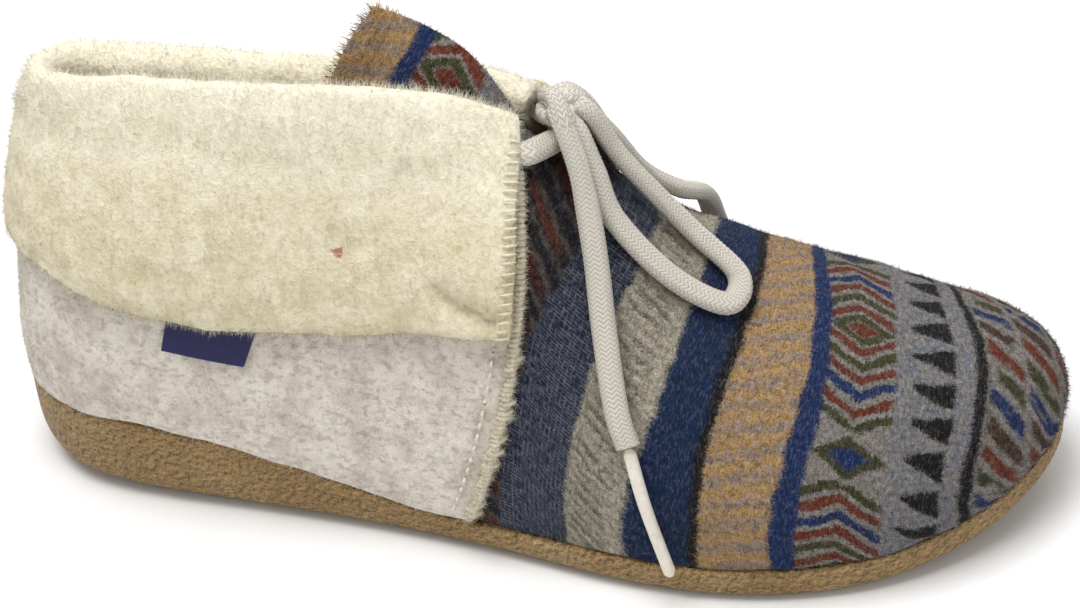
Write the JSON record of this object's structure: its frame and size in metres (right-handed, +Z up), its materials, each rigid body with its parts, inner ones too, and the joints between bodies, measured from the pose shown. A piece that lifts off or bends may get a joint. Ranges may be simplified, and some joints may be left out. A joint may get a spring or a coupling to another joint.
{
  "type": "wool slipper boot",
  "caption": "Right-foot wool slipper boot, empty and standing, with a patterned vamp, felt quarters, a turned-down fleece cuff, a tied lace and a wedge rubber sole",
  "frame": {"origin": "on the ground, on the sole's flat underside, at the middle of its length", "axes": "+X from heel to toe, +Y to the inner (medial) side of a right foot, +Z up"},
  "size_m": [0.2628, 0.1035, 0.123],
  "materials": {
    "tan_rubber": "pebbled satin-matte foamed rubber",
    "patterned_wool": "fulled wool felt with woven bands",
    "cream_fleece": "short matted wool fleece",
    "lace_cotton": "oval braided cotton",
    "aglet_plastic": "smooth sleeve",
    "navy_ribbon": "plain woven ribbon"
  },
  "bodies": {
    "root": {"outsole": "tan_rubber", "insole": "cream_fleece", "upper": "patterned_wool", "cuff": "cream_fleece", "tongue": "patterned_wool", "side_tab": "navy_ribbon", "lace_bar": "lace_cotton", "lace_end_near": "lace_cotton", "lace_loop_near": "lace_cotton", "lace_end_far": "lace_cotton", "lace_loop_far": "lace_cotton", "lace_knot": "lace_cotton", "aglet_near": "aglet_plastic", "aglet_far": "aglet_plastic"}
  },
  "joints": []
}
